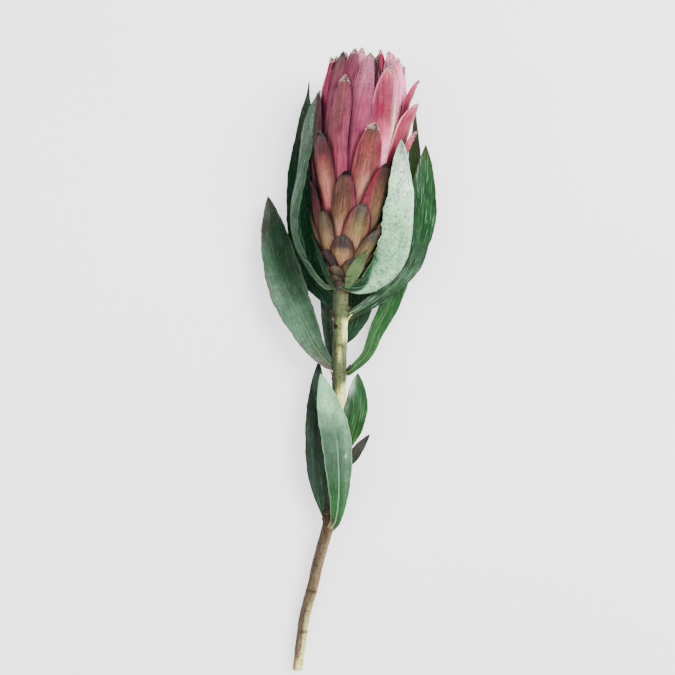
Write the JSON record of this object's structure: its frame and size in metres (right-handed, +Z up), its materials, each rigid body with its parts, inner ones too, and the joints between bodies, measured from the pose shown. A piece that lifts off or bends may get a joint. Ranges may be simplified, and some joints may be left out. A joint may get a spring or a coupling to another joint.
{
  "type": "cut protea bloom",
  "caption": "Cut protea flower head in overlapping bracts on a leafy stem, lying flat, for vases and bouquets.",
  "frame": {"origin": "on the surface the stem lies on, under the middle of the whole bloom's box", "axes": "+Y along the stem from the cut end to the flower head, +Z up from the surface, +X to the right seen from above"},
  "size_m": [0.0856, 0.3, 0.0511],
  "materials": {
    "stem": "olive to tan bark-like skin, matt, with brown leaf scars",
    "bracts_outer": "olive-tan to brown, matt, with dark purple margins and tips",
    "bracts_inner": "crimson to pale pink, finely streaked, with pale hairy tips",
    "florets": "dark purple, woolly",
    "leaf_left_long": "blue-green, satin, with a pale yellow-green midrib",
    "leaf_head_back_left": "dark green, satin",
    "leaf_head_left": "dark green inside, pale grey-green bloom on the rolled outer band",
    "leaf_head_right": "pale mint green with fine darker specks, matt",
    "leaf_right_sweep": "bright green with pale glossy streaks and a thin brown margin",
    "leaf_right_back": "bright green with a pale midrib",
    "leaf_back_right": "blue-green, satin",
    "leaf_back_left": "dark green, satin",
    "leaf_low_left": "dark grey-green, satin",
    "leaf_low_front": "pale grey-green with a double midrib line and a yellow-green margin",
    "leaf_low_right": "bright green, satin, with a brown margin",
    "leaf_low_small": "dull purple-grey",
    "leaf_bract_right": "green, satin",
    "leaf_bract_left": "dark green, satin"
  },
  "bodies": {
    "root": {"stem": "stem", "bracts_outer": "bracts_outer", "bracts_inner": "bracts_inner", "florets": "florets", "leaf_left_long": "leaf_left_long", "leaf_head_back_left": "leaf_head_back_left", "leaf_head_left": "leaf_head_left", "leaf_head_right": "leaf_head_right", "leaf_right_sweep": "leaf_right_sweep", "leaf_right_back": "leaf_right_back", "leaf_back_right": "leaf_back_right", "leaf_back_left": "leaf_back_left", "leaf_low_left": "leaf_low_left", "leaf_low_front": "leaf_low_front", "leaf_low_right": "leaf_low_right", "leaf_low_small": "leaf_low_small", "leaf_bract_right": "leaf_bract_right", "leaf_bract_left": "leaf_bract_left"}
  },
  "joints": []
}
